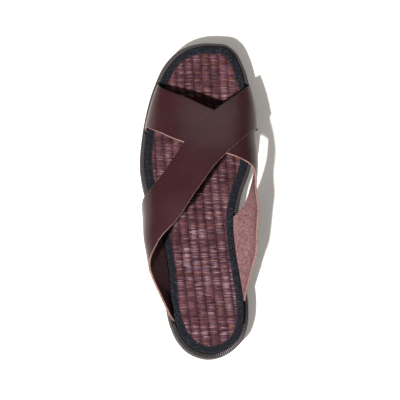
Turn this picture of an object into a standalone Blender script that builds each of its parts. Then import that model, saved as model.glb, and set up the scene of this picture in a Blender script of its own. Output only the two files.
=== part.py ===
"""Tatami sandal with two crossed leather straps, for the left foot.

The sandal stands on its sole. +X points to the inner (medial) side of the foot, +Y to the toe and
+Z up. It is worked out with the back of the heel at Y = 0 and is then carried by an empty, so that
the middle of its footprint stands on the origin.
"""

import math

import bmesh
import bpy
import numpy as np

MM = 0.001

# Driving sizes of the sole
LENGTH = 280 * MM
BALL_WIDTH = 102 * MM
HEEL_HEIGHT = 27.5 * MM      # from the floor to the rim at the heel
FORE_HEIGHT = 21.5 * MM      # from the floor to the rim at the ball
TOE_SPRING = 5.5 * MM        # how far the toe is lifted
ARCH_LIFT = 1.5 * MM         # how far the waist is hollowed underneath

# Layers of the sole
OUTSOLE_THICKNESS = 5.0 * MM
WALKING_EDGE = 0.6 * MM      # bevel round the walking face
OUTSOLE_EDGE = 0.4 * MM      # bevel round the upper face of the outsole
TREAD_PITCH = 14.0 * MM
TREAD_GROOVE = 3.6 * MM
TREAD_DEPTH = 1.6 * MM
TREAD_SLOPE = 0.5 * MM
SIDE_STEP = 0.9 * MM         # how far the middle sole stands in from the rim
WELT_THICKNESS = 3.0 * MM
WELT_WIDTH = 3.6 * MM
WELT_ROUND = 1.1 * MM
WELT_BEVEL = 0.3 * MM
INSOLE_THICKNESS = 3.0 * MM
MAT_THICKNESS = 2.0 * MM
RIB_HEIGHT = 1.5 * MM
RIB_PITCH_TOE = 7.5 * MM
RIB_PITCH_HEEL = 8.1 * MM
RIB_SLANT_TOE = 3.0          # degrees off the length of the sole
RIB_SLANT_HEEL = 8.0
RIB_SINK = 0.8 * MM          # how deep the ribs are rooted in the mat's base
RIB_TRIM = 0.6 * MM          # how deep they are trimmed to the edge of the tape
FURROW_RISE = 0.15           # share of a rib's height at which two ribs meet
TAPE_THICKNESS = 0.8 * MM
TAPE_WIDTH = 5.8 * MM

# The straps and the foot's form under them
INSTEP_HEIGHT = 87 * MM      # from the floor to the inner face of the straps at their highest
STRAP_THICKNESS = 1.8 * MM
STRAP_RISE = 1.5 * MM        # how far a strap stands straight up out of its slot
STRAP_OVERLAP = 0.4 * MM     # how far the upper strap is pressed into the lower one

# Clearances
GAP = 0.3 * MM               # between pieces that touch
SLOT_PLAY = 0.5 * MM         # between a strap's outer face and the rim
SLOT_END_PLAY = 2.2 * MM     # between a strap's edges and the ends of its slot
RIM_GAP = 0.9 * MM           # open gap between the rim and the tape

# How finely curved pieces are divided
RUNGS = 44
RING_PLACES = 116
STRAP_ROWS = 40
STRAP_COLUMNS = 8
RIB_STATIONS = 18
OUTLINE_STEPS = 24           # points from one row of the outline's table to the next
RING_CLEARANCE = 5           # points kept free beside a slot's end
SHARP_ANGLE = 35.0           # degrees

# Outline of the sole: share of the length, then shares of the ball width
OUTLINE = (
    # along, lateral, medial
    (0.000, 0.088, 0.088),
    (0.020, -0.093, 0.258),
    (0.055, -0.186, 0.359),
    (0.100, -0.246, 0.404),
    (0.155, -0.284, 0.415),
    (0.240, -0.305, 0.387),
    (0.340, -0.342, 0.342),
    (0.430, -0.409, 0.325),
    (0.510, -0.471, 0.357),
    (0.600, -0.517, 0.440),
    (0.680, -0.509, 0.474),
    (0.770, -0.470, 0.483),
    (0.860, -0.400, 0.438),
    (0.930, -0.309, 0.377),
    (0.975, -0.187, 0.306),
    (0.993, -0.075, 0.241),
    (1.000, 0.118, 0.118),
)

# Side view of the sole
UNDERSIDE = (
    # along, share of the toe spring, share of the arch lift
    (0.00, 0.30, 0.0),
    (0.04, 0.00, 0.0),
    (0.28, 0.00, 0.0),
    (0.41, 0.00, 1.0),
    (0.54, 0.00, 0.0),
    (0.72, 0.00, 0.0),
    (0.87, 0.30, 0.0),
    (1.00, 1.00, 0.0),
)
RIM_LINE = (
    # along, share of the way from ball to heel height, share of the toe spring
    (0.00, 1.05, 0.0),
    (0.15, 1.00, 0.0),
    (0.32, 0.88, 0.0),
    (0.50, 0.40, 0.0),
    (0.68, 0.00, 0.0),
    (0.86, 0.00, 0.30),
    (1.00, 0.00, 1.00),
)

# Stretches of the length that have tread bars
TREAD_SPANS = (
    # from, to
    (0.06, 0.27),
    (0.55, 0.93),
)
# Side of the middle sole, with its groove
MIDSOLE_SIDE = (
    # share of its height, share of the side step
    (0.00, 0.33),
    (0.06, 0.11),
    (0.62, 0.30),
    (0.66, 0.86),
    (0.74, 1.00),
    (1.00, 1.00),
)
# Rounded top of one rib of the mat
RIB_ROUND = (
    # share of the pitch, share of the height
    (0.00, 0.00),
    (0.16, 0.75),
    (0.50, 1.00),
    (0.84, 0.75),
)

# Form of the foot under the straps: outward bulges as shares of the ball width,
# heights as shares of the instep height
LAST = (
    # along, lateral bulge, medial bulge, height of each, crown off centre, height of the crown
    (0.10, 0.000, 0.000, 0.38, 0.36, 0.03, 0.88),
    (0.18, 0.070, 0.010, 0.58, 0.40, 0.03, 0.92),
    (0.25, 0.145, 0.070, 0.70, 0.45, 0.03, 0.96),
    (0.34, 0.158, 0.160, 0.70, 0.50, 0.03, 0.99),
    (0.44, 0.112, 0.185, 0.57, 0.56, 0.03, 1.00),
    (0.53, 0.062, 0.120, 0.53, 0.61, 0.04, 0.95),
    (0.62, 0.032, 0.055, 0.47, 0.55, 0.05, 0.86),
    (0.70, 0.014, 0.022, 0.42, 0.44, 0.06, 0.74),
    (0.78, 0.004, 0.008, 0.38, 0.38, 0.06, 0.60),
    (0.88, 0.000, 0.002, 0.34, 0.34, 0.06, 0.46),
)
DOME_FULLNESS = 0.25
WALL_BEND = 1.25              # how early the outer side's strap wall turns upright above its slot
ARCH_WALL_BEND = 2.2          # the same on the inner side, where the wall leans out over the arch

# Edges of the two straps: round the foot from the lateral slot (0) over the crown (0.5)
# to the medial slot (1), each edge's place as a share of the length
OVER_STRAP = (
    # around, front edge, rear edge
    (0.00, 0.448, 0.117),
    (0.08, 0.454, 0.132),
    (0.16, 0.463, 0.180),
    (0.20, 0.474, 0.219),
    (0.235, 0.484, 0.260),
    (0.27, 0.494, 0.281),
    (0.31, 0.511, 0.304),
    (0.35, 0.542, 0.333),
    (0.40, 0.605, 0.389),
    (0.43, 0.655, 0.436),
    (0.475, 0.711, 0.507),
    (0.52, 0.755, 0.577),
    (0.60, 0.799, 0.646),
    (0.73, 0.842, 0.701),
    (0.86, 0.857, 0.717),
    (1.00, 0.860, 0.712),
)
UNDER_STRAP = (
    # around, front edge, rear edge
    (0.00, 0.864, 0.716),
    (0.17, 0.854, 0.714),
    (0.30, 0.834, 0.694),
    (0.42, 0.804, 0.653),
    (0.52, 0.762, 0.626),
    (0.62, 0.742, 0.600),
    (0.70, 0.727, 0.576),
    (0.77, 0.711, 0.537),
    (0.82, 0.698, 0.492),
    (0.86, 0.636, 0.420),
    (0.90, 0.546, 0.348),
    (0.92, 0.520, 0.312),
    (0.935, 0.506, 0.288),
    (0.955, 0.487, 0.243),
    (0.975, 0.467, 0.208),
    (1.00, 0.446, 0.179),
)
# Where along the over strap it has climbed onto the under strap and left it again
CLIMB = (0.10, 0.32, 0.90, 1.00)

# Colours, roughness and metallic value of each piece
FINISHES = {
    # name: red, green, blue, roughness, metallic
    "outsole": (0.020, 0.018, 0.017, 0.75, 0.0),
    "midsole": (0.030, 0.026, 0.024, 0.65, 0.0),
    "welt": (0.055, 0.046, 0.043, 0.40, 0.0),
    "insole": (0.060, 0.045, 0.040, 0.90, 0.0),
    "tatami_mat": (0.170, 0.080, 0.092, 0.60, 0.0),
    "binding": (0.020, 0.024, 0.032, 0.85, 0.0),
    "upper": (0.080, 0.035, 0.035, 0.35, 0.0),
}


def smooth_curve(places, values):
    """Cubic through the rows whose slopes never carry it past them."""
    places = np.asarray(places, float)
    values = np.asarray(values, float)
    step = np.diff(places)
    rise = np.diff(values) / step
    slope = np.empty_like(values)
    slope[0] = rise[0]
    slope[-1] = rise[-1]
    before, after = rise[:-1], rise[1:]
    weight_a = 2 * step[1:] + step[:-1]
    weight_b = step[1:] + 2 * step[:-1]
    same_way = before * after > 0
    safe_before = np.where(same_way, before, 1.0)
    safe_after = np.where(same_way, after, 1.0)
    mean = (weight_a + weight_b) / (weight_a / safe_before + weight_b / safe_after)
    slope[1:-1] = np.where(same_way, mean, 0.0)

    def read(at):
        at = np.clip(np.asarray(at, float), places[0], places[-1])
        left = np.clip(np.searchsorted(places, at, side="right") - 1, 0, len(places) - 2)
        u = (at - places[left]) / step[left]
        start = values[left] * (1 + 2 * u) * (1 - u) ** 2 + slope[left] * step[left] * u * (1 - u) ** 2
        end = values[left + 1] * u * u * (3 - 2 * u) + slope[left + 1] * step[left] * u * u * (u - 1)
        return start + end

    return read


def column_curve(table, column, scale=1.0):
    """A table's column as a smooth function of its first column."""
    rows = np.array(table, float)
    return smooth_curve(rows[:, 0], rows[:, column] * scale)


def smooth_step(at):
    at = np.clip(at, 0.0, 1.0)
    return at * at * (3 - 2 * at)


underside_spring = column_curve(UNDERSIDE, 1, TOE_SPRING)
underside_arch = column_curve(UNDERSIDE, 2, ARCH_LIFT)
rim_rise = column_curve(RIM_LINE, 1, HEEL_HEIGHT - FORE_HEIGHT)
rim_spring = column_curve(RIM_LINE, 2, TOE_SPRING)


def underside_z(y):
    """Height of the outsole's walking face."""
    return underside_spring(y / LENGTH) + underside_arch(y / LENGTH)


def rim_z(y):
    """Height of the rim's upper face."""
    return FORE_HEIGHT + rim_rise(y / LENGTH) + rim_spring(y / LENGTH)


def platform_z(y):
    """Height of the middle sole's upper face, on which rim and insole lie."""
    return rim_z(y) - WELT_THICKNESS - GAP


def insole_top_z(y):
    return platform_z(y) + GAP + INSOLE_THICKNESS


def mat_floor_z(y):
    """Height of the mat's upper face between its ribs and under the tape."""
    return insole_top_z(y) + GAP + MAT_THICKNESS


def closed_outline():
    """The sole's outline as a closed smooth curve, from the heel along the medial side.

    Cubic pieces join the table's rows, with slopes taken from the neighbouring rows over the
    distance between them.
    """
    rows = np.array(OUTLINE)
    medial = np.stack([rows[:, 2] * BALL_WIDTH, rows[:, 0] * LENGTH], axis=1)
    lateral = np.stack([rows[:, 1] * BALL_WIDTH, rows[:, 0] * LENGTH], axis=1)
    knots = np.concatenate([medial, lateral[-2:0:-1]])
    after = np.roll(knots, -1, axis=0)
    span = np.linalg.norm(after - knots, axis=1)
    rise = (after - knots) / span[:, None]
    span_before = np.roll(span, 1)
    rise_before = np.roll(rise, 1, axis=0)
    total = (span + span_before)[:, None]
    slope = (rise_before * span[:, None] + rise * span_before[:, None]) / total
    slope_after = np.roll(slope, -1, axis=0)
    u = (np.arange(OUTLINE_STEPS) / OUTLINE_STEPS)[None, :, None]
    reach = span[:, None, None]
    points = (knots[:, None] * (1 + 2 * u) * (1 - u) ** 2
              + slope[:, None] * reach * u * (1 - u) ** 2
              + after[:, None] * u * u * (3 - 2 * u)
              + slope_after[:, None] * reach * u * u * (u - 1))
    return points.reshape(-1, 2)


OUTER_LINE = closed_outline()


def inset_line(inset, line=OUTER_LINE):
    """The outline moved inwards at right angles to itself."""
    along = np.roll(line, -1, axis=0) - np.roll(line, 1, axis=0)
    along /= np.linalg.norm(along, axis=1)[:, None]
    inwards = np.stack([-along[:, 1], along[:, 0]], axis=1)
    return line + inwards * inset


def side_lines(inset):
    """The lateral and the medial half of an inset outline, each from heel to toe."""
    line = inset_line(inset)
    line = np.roll(line, -int(np.argmin(line[:, 1])), axis=0)
    toe = int(np.argmax(line[:, 1]))
    medial = line[:toe + 1]
    lateral = np.concatenate([line[:1], line[:toe - 1:-1]])
    return lateral, medial


def rung_ends(inset, shares):
    """Lateral and medial points of an inset outline at shares of its own length."""
    lateral, medial = side_lines(inset)
    heel, toe = medial[0, 1], medial[-1, 1]
    y = heel + (toe - heel) * np.asarray(shares)
    left = np.stack([np.interp(y, lateral[:, 1], lateral[:, 0]), y], axis=1)
    right = np.stack([np.interp(y, medial[:, 1], medial[:, 0]), y], axis=1)
    return left, right


def rounded_shares(count):
    """Shares from 0 to 1 that crowd together at both ends."""
    return 0.5 - 0.5 * np.cos(np.linspace(0, math.pi, count))


def material_for(name):
    red, green, blue, roughness, metallic = FINISHES[name]
    material = bpy.data.materials.new(name)
    material.use_nodes = True
    shader = material.node_tree.nodes["Principled BSDF"]
    shader.inputs["Base Color"].default_value = (red, green, blue, 1.0)
    shader.inputs["Roughness"].default_value = roughness
    shader.inputs["Metallic"].default_value = metallic
    material.diffuse_color = (red, green, blue, 1.0)
    return material


def new_piece(name, vertices, faces, collection, finish=None):
    """A mesh object with its faces turned outwards."""
    mesh = bpy.data.meshes.new(name)
    mesh.from_pydata([tuple(point) for point in vertices], [], faces)
    shape = bmesh.new()
    shape.from_mesh(mesh)
    bmesh.ops.recalc_face_normals(shape, faces=shape.faces)
    shape.to_mesh(mesh)
    shape.free()
    mesh.shade_smooth()
    mesh.set_sharp_from_angle(angle=math.radians(SHARP_ANGLE))
    mesh.materials.append(material_for(finish or name))
    piece = bpy.data.objects.new(name, mesh)
    collection.objects.link(piece)
    return piece


def stacked_loops(name, rows, shares, collection, finish=None):
    """A solid between outlines stacked from the bottom up.

    Each row is an inset and a height function of Y. The loops run round the outline at the given
    shares of the length, and the lowest and highest are closed by rungs across the sole.
    """
    vertices = []
    count = len(shares)
    for inset, height in rows:
        left, right = rung_ends(inset, shares)
        loop = np.concatenate([right, left[-2:0:-1]])
        vertices.append(np.column_stack([loop, height(loop[:, 1])]))
    ring = 2 * count - 2
    faces = []
    for level in range(len(rows) - 1):
        for i in range(ring):
            j = (i + 1) % ring
            low, high = level * ring, (level + 1) * ring
            faces.append((low + i, low + j, high + j, high + i))
    for base in (0, (len(rows) - 1) * ring):
        faces.append((base, base + 1, base + ring - 1))
        for i in range(1, count - 2):
            faces.append((base + i, base + i + 1, base + ring - i - 1, base + ring - i))
        faces.append((base + count - 2, base + count - 1, base + count))
    return new_piece(name, np.concatenate(vertices), faces, collection, finish)


def tread_shares():
    """Shares of the length at which the tread's bars begin and end, with round ends added."""
    edges = []
    grooves = []
    for start, end in TREAD_SPANS:
        bars = int((end - start) * LENGTH / TREAD_PITCH)
        for number in range(bars):
            groove = start * LENGTH + number * TREAD_PITCH
            grooves.append(groove)
            edges += [groove, groove + TREAD_SLOPE,
                      groove + TREAD_GROOVE - TREAD_SLOPE, groove + TREAD_GROOVE]
    return np.array(edges) / LENGTH, np.array(grooves)


def make_outsole(collection):
    """The walking sole, with straight bars across heel and forefoot."""
    edges, grooves = tread_shares()

    def walking_z(y):
        into = y[:, None] - grooves[None, :]
        depth = np.minimum(into, TREAD_GROOVE - into) / TREAD_SLOPE
        cut = np.clip(depth, 0.0, 1.0).max(axis=1)
        return underside_z(y) + TREAD_DEPTH * cut

    shares = rounded_shares(RUNGS)
    far = np.abs(shares[:, None] - edges[None, :]).min(axis=1) * LENGTH > TREAD_SLOPE
    far[[0, -1]] = True
    shares = np.sort(np.concatenate([shares[far], edges]))
    rows = (
        (WALKING_EDGE, walking_z),
        (0.0, lambda y: underside_z(y) + TREAD_DEPTH + WALKING_EDGE),
        (0.0, lambda y: underside_z(y) + OUTSOLE_THICKNESS - OUTSOLE_EDGE),
        (OUTSOLE_EDGE, lambda y: underside_z(y) + OUTSOLE_THICKNESS),
    )
    return stacked_loops("outsole", rows, shares, collection)


def make_midsole(collection):
    """The thick middle sole, a wedge that is highest at the heel, with a groove round its side."""
    def level(share):
        return lambda y: ((underside_z(y) + OUTSOLE_THICKNESS + GAP) * (1 - share)
                          + platform_z(y) * share)

    rows = [(inset * SIDE_STEP, level(share)) for share, inset in MIDSOLE_SIDE]
    return stacked_loops("midsole", rows, rounded_shares(RUNGS), collection)


TAPE_OUTER = WELT_WIDTH + RIM_GAP
STRAP_INNER = TAPE_OUTER - GAP
STRAP_OUTER = STRAP_INNER - STRAP_THICKNESS
SLOT_OUTER = STRAP_OUTER - SLOT_PLAY
BOARD_EDGE = TAPE_OUTER + TAPE_THICKNESS + GAP
WINDOW_EDGE = TAPE_OUTER + TAPE_WIDTH + GAP


def slot_spans():
    """For each side of the sole, the stretches of its length that a strap's end fills."""
    over, under = np.array(OVER_STRAP), np.array(UNDER_STRAP)
    lateral = [(over[0, 2], over[0, 1]), (under[0, 2], under[0, 1])]
    medial = [(over[-1, 2], over[-1, 1]), (under[-1, 2], under[-1, 1])]
    return lateral, medial


def ring_places(extra=()):
    """Numbers of the outline's points, evenly spaced round it, with extra ones added."""
    length = np.linalg.norm(np.roll(OUTER_LINE, -1, axis=0) - OUTER_LINE, axis=1)
    run = np.concatenate([[0], np.cumsum(length)])
    even = np.searchsorted(run, np.linspace(0, run[-1], RING_PLACES, endpoint=False))
    places = [int(place) % len(OUTER_LINE) for place in even]
    near = [place for place in places
            if all(abs(place - other) > RING_CLEARANCE for other in extra)]
    return sorted(set(near) | set(extra))


def slot_depths():
    """Depth of the slots at every point of the outline, and the points where a slot ends."""
    middle = inset_line(0.5 * (STRAP_INNER + STRAP_OUTER))
    heel = int(np.argmin(OUTER_LINE[:, 1]))
    toe = int(np.argmax(OUTER_LINE[:, 1]))
    number = np.arange(len(OUTER_LINE))
    on_medial = (number >= heel) & (number <= toe)
    inside = np.zeros(len(OUTER_LINE), bool)
    lateral, medial = slot_spans()
    for side, spans in ((~on_medial, lateral), (on_medial, medial)):
        for rear, front in spans:
            low, high = rear * LENGTH - SLOT_END_PLAY, front * LENGTH + SLOT_END_PLAY
            inside |= side & (middle[:, 1] > low) & (middle[:, 1] < high)
    ends = []
    for place in number:
        following = (place + 1) % len(OUTER_LINE)
        if inside[place] != inside[following]:
            ends += [int(place), int(following)]
    return inside, ends


def swept_ring(name, profile, places, collection):
    """A profile carried round the outline: rows of inset and height functions, closed."""
    vertices = []
    for inset, height in profile:
        if callable(inset):
            line = inset_line(inset(np.arange(len(OUTER_LINE)))[:, None])[places]
        else:
            line = inset_line(inset)[places]
        vertices.append(np.column_stack([line, height(line[:, 1])]))
    count, corners = len(places), len(profile)
    faces = []
    for k in range(corners):
        for i in range(count):
            j = (i + 1) % count
            here, there = k * count, ((k + 1) % corners) * count
            faces.append((here + i, here + j, there + j, there + i))
    return new_piece(name, np.concatenate(vertices), faces, collection)


def make_welt(collection):
    """The flat rim round the foot, with a rounded outer edge and a slot for each strap's end."""
    inside, ends = slot_depths()

    def inner_edge(place):
        return np.where(inside[place], SLOT_OUTER, WELT_WIDTH)

    base = lambda y: platform_z(y) + GAP
    profile = (
        (WELT_BEVEL, base),
        (0.0, lambda y: base(y) + WELT_BEVEL),
        (0.0, lambda y: rim_z(y) - WELT_ROUND),
        (WELT_BEVEL, lambda y: rim_z(y) - WELT_BEVEL),
        (WELT_ROUND, rim_z),
        (inner_edge, rim_z),
        (inner_edge, base),
    )
    return swept_ring("welt", profile, ring_places(ends), collection)


def make_insole(collection):
    """The board under the mat."""
    rows = (
        (BOARD_EDGE, lambda y: platform_z(y) + GAP),
        (BOARD_EDGE, insole_top_z),
    )
    return stacked_loops("insole", rows, rounded_shares(RUNGS), collection)


def make_binding(collection):
    """The tape folded over the edge of mat and board, down to the middle sole."""
    flange_under = lambda y: mat_floor_z(y) + GAP
    flange_top = lambda y: flange_under(y) + TAPE_THICKNESS
    foot = lambda y: platform_z(y) + GAP
    side_inner = TAPE_OUTER + TAPE_THICKNESS
    profile = (
        (TAPE_OUTER, foot),
        (TAPE_OUTER, lambda y: flange_top(y) - TAPE_THICKNESS),
        (TAPE_OUTER + TAPE_THICKNESS, flange_top),
        (TAPE_OUTER + TAPE_WIDTH, flange_top),
        (TAPE_OUTER + TAPE_WIDTH, flange_under),
        (side_inner, flange_under),
        (side_inner, foot),
    )
    return swept_ring("binding", profile, ring_places(), collection)


def rib_x(number, y):
    """Place across the sole of the furrow beside a numbered rib of the mat."""
    toewards = y / LENGTH
    pitch = RIB_PITCH_HEEL + (RIB_PITCH_TOE - RIB_PITCH_HEEL) * toewards
    lean_toe = math.tan(math.radians(RIB_SLANT_TOE))
    lean_heel = math.tan(math.radians(RIB_SLANT_HEEL))
    heelwards = 1 - toewards
    lean = LENGTH * (lean_toe * heelwards + 0.5 * (lean_heel - lean_toe) * heelwards ** 2)
    return number * pitch + lean - RIB_PITCH_TOE


def make_mat(collection, cutters):
    """The rush mat: a flat base under the tape, with rounded ribs along it inside the tape."""
    base_rows = (
        (BOARD_EDGE, lambda y: insole_top_z(y) + GAP),
        (BOARD_EDGE, mat_floor_z),
    )
    mat = stacked_loops("tatami_mat", base_rows, rounded_shares(RUNGS), collection)

    window_rows = (
        (WINDOW_EDGE, lambda y: mat_floor_z(y) - RIB_TRIM),
        (WINDOW_EDGE, lambda y: mat_floor_z(y) + 2 * RIB_HEIGHT),
    )
    window = stacked_loops("mat_window", window_rows, rounded_shares(RUNGS), cutters, "tatami_mat")

    heel_x, toe_x = rib_x(0, 0.0), rib_x(0, LENGTH)
    first = math.floor((-0.5 * BALL_WIDTH - max(heel_x, toe_x)) / RIB_PITCH_TOE)
    last = math.ceil((0.5 * BALL_WIDTH - min(heel_x, toe_x)) / RIB_PITCH_TOE)
    stations = np.linspace(0.0, LENGTH, RIB_STATIONS)
    columns = [(number + part, rise) for number in range(first, last) for part, rise in RIB_ROUND]
    vertices = []
    for y in stations:
        for place, rise in columns:
            lift = RIB_HEIGHT * (FURROW_RISE + (1 - FURROW_RISE) * rise)
            vertices.append((rib_x(place, y), y, mat_floor_z(y) + lift))
        for place in (columns[-1][0], columns[0][0]):
            vertices.append((rib_x(place, y), y, mat_floor_z(y) - RIB_SINK))
    width = len(columns) + 2
    faces = []
    for row in range(len(stations) - 1):
        for k in range(width):
            here, there = row * width, (row + 1) * width
            j = (k + 1) % width
            faces.append((here + k, here + j, there + j, there + k))
    faces.append(tuple(range(width)))
    faces.append(tuple(range((len(stations) - 1) * width, len(stations) * width)))
    ribs = new_piece("mat_ribs", vertices, faces, cutters, finish="tatami_mat")
    add_boolean(ribs, window, "INTERSECT")
    add_boolean(mat, ribs, "UNION")
    return mat


def add_boolean(piece, tool, operation):
    cut = piece.modifiers.new(operation.title(), "BOOLEAN")
    cut.operation = operation
    cut.object = tool
    cut.solver = "EXACT"
    tool.display_type = "WIRE"
    tool.hide_render = True
    return cut


last_lateral = column_curve(LAST, 1, BALL_WIDTH)
last_medial = column_curve(LAST, 2, BALL_WIDTH)
last_lateral_z = column_curve(LAST, 3, INSTEP_HEIGHT)
last_medial_z = column_curve(LAST, 4, INSTEP_HEIGHT)
last_crown_x = column_curve(LAST, 5, BALL_WIDTH)
last_crown_z = column_curve(LAST, 6, INSTEP_HEIGHT)
SLOT_LATERAL, SLOT_MEDIAL = side_lines(STRAP_INNER)


def last_point(along, around):
    """A point of the foot's form under the straps, for arrays of shares.

    Each half of a section leans out from its slot until it stands upright at its bulge, and
    closes over the crown in a quarter of an ellipse that is filled out by DOME_FULLNESS.
    """
    y = along * LENGTH
    lateral = around < 0.5
    slot_x = np.where(lateral, np.interp(y, SLOT_LATERAL[:, 1], SLOT_LATERAL[:, 0]),
                      np.interp(y, SLOT_MEDIAL[:, 1], SLOT_MEDIAL[:, 0]))
    outwards = np.where(lateral, -1.0, 1.0)
    bulge = np.where(lateral, last_lateral(along), last_medial(along))
    foot_z = rim_z(y) + STRAP_RISE
    bulge_z = np.where(lateral, last_lateral_z(along), last_medial_z(along))
    dome = last_crown_z(along) - bulge_z
    share = np.where(lateral, around, 1 - around) * 2
    lowest = -(bulge_z - foot_z) / dome
    angle = lowest + (0.5 * math.pi - lowest) * share
    down = np.clip(angle / lowest, 0.0, 1.0)
    up = np.clip(angle, 0.0, None)
    widest = slot_x + outwards * bulge
    half = widest - last_crown_x(along)
    leg_x = slot_x + outwards * bulge * (1 - down ** np.where(lateral, WALL_BEND, ARCH_WALL_BEND))
    dome_x = last_crown_x(along) + half * np.cos(up) * (1 + DOME_FULLNESS * np.sin(up) ** 2)
    x = np.where(angle < 0, leg_x, dome_x)
    z = np.where(angle < 0, bulge_z + dome * angle, bulge_z + dome * np.sin(up))
    return np.stack([x, y, z], axis=-1)


def last_normal(along, around):
    """Outward direction of the foot's form, from two small steps across it."""
    step = 0.002
    inner = np.clip(around, step, 1 - step)
    across = last_point(along, inner + step) - last_point(along, inner - step)
    lengthways = last_point(along + step, inner) - last_point(along - step, inner)
    normal = np.cross(across, lengthways)
    return normal / np.linalg.norm(normal, axis=-1)[..., None]


def strap_rows(front, rear):
    """Places round the foot that lie equally far apart along a strap's middle line."""
    fine = np.linspace(0, 1, 20 * STRAP_ROWS)
    path = last_point(0.5 * (front(fine) + rear(fine)), fine)
    run = np.concatenate([[0], np.cumsum(np.linalg.norm(np.diff(path, axis=0), axis=1))])
    return np.interp(np.linspace(0, run[-1], STRAP_ROWS), run, fine)


def strap_surface(name, edges, lift, collection):
    """A strap as an open surface between its two edges, given its thickness outwards.

    The lift is a function of the place round the foot. A row is added at each end, which
    stands straight below the last one in the slot.
    """
    front, rear = column_curve(edges, 1), column_curve(edges, 2)
    around = strap_rows(front, rear)[:, None] + np.zeros((1, STRAP_COLUMNS))
    side = np.linspace(0, 1, STRAP_COLUMNS)[None, :]
    along = front(around) * (1 - side) + rear(around) * side
    points = last_point(along, around) + last_normal(along, around) * lift(around)[..., None]
    grid = [points]
    for end in (0, -1):
        foot = points[end].copy()
        foot[:, 2] = platform_z(foot[:, 1]) + 2 * GAP
        grid.insert(0 if end == 0 else len(grid), foot[None])
    points = np.concatenate(grid)
    rows, columns = points.shape[:2]
    faces = []
    for i in range(rows - 1):
        for j in range(columns - 1):
            corner = i * columns + j
            faces.append((corner, corner + 1, corner + columns + 1, corner + columns))
    mesh = bpy.data.meshes.new(name)
    mesh.from_pydata([tuple(point) for point in points.reshape(-1, 3)], [], faces)
    mesh.shade_smooth()
    mesh.set_sharp_from_angle(angle=math.radians(SHARP_ANGLE))
    mesh.materials.append(material_for("upper"))
    strap = bpy.data.objects.new(name, mesh)
    collection.objects.link(strap)
    wall = strap.modifiers.new("Wall", "SOLIDIFY")
    wall.thickness = STRAP_THICKNESS
    wall.offset = 1.0
    wall.use_even_offset = True
    return strap


def climb(around):
    """How far the over strap lies above the foot's form, so that the under strap fits below."""
    start, top, leave, end = CLIMB
    up = smooth_step((around - start) / (top - start))
    down = smooth_step((around - leave) / (end - leave))
    return (STRAP_THICKNESS - STRAP_OVERLAP) * up * (1 - down)


def make_upper(collection, cutters):
    """The two straps, joined into one solid where they cross."""
    upper = strap_surface("upper", UNDER_STRAP, lambda around: np.zeros_like(around), collection)
    over = strap_surface("over_strap", OVER_STRAP, climb, cutters)
    add_boolean(upper, over, "UNION")
    return upper


def stand_on_origin(pieces, collection, cutters):
    """Hangs pieces and shaping tools on an empty, so that the footprint's middle is the origin."""
    carrier = bpy.data.objects.new("sandal", None)
    bpy.context.view_layer.update()
    graph = bpy.context.evaluated_depsgraph_get()
    low, high = np.full(3, np.inf), np.full(3, -np.inf)
    for piece in pieces:
        mesh = piece.evaluated_get(graph).to_mesh()
        points = np.empty(3 * len(mesh.vertices), np.float32)
        mesh.vertices.foreach_get("co", points)
        points = points.reshape(-1, 3)
        low, high = np.minimum(low, points.min(axis=0)), np.maximum(high, points.max(axis=0))
    middle = 0.5 * (low + high)
    carrier.location = (-middle[0], -middle[1], -low[2])
    for hung in list(collection.objects) + list(cutters.objects):
        hung.parent = carrier
    collection.objects.link(carrier)


def main():
    for old in list(bpy.data.objects):
        bpy.data.objects.remove(old, do_unlink=True)
    collection = bpy.data.collections.new("tatami_sandal")
    cutters = bpy.data.collections.new("shaping_tools")
    bpy.context.scene.collection.children.link(collection)
    bpy.context.scene.collection.children.link(cutters)
    pieces = [
        make_outsole(collection),
        make_midsole(collection),
        make_welt(collection),
        make_insole(collection),
        make_mat(collection, cutters),
        make_binding(collection),
        make_upper(collection, cutters),
    ]
    stand_on_origin(pieces, collection, cutters)


main()
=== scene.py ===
"""Tatami sandal for the left foot: rush mat, taped edge, ribbed rim and two crossed straps.

The packed sandal stands on the floor with +X to the inner side of the foot, +Y to the toe and +Z
up, in metres. Each operator dresses one piece or group of pieces and the last one sets the stage.
"""

import math

import bpy
import numpy as np
from bpy.props import FloatProperty, FloatVectorProperty, IntProperty, PointerProperty
from mathutils import Matrix, Vector


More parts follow.
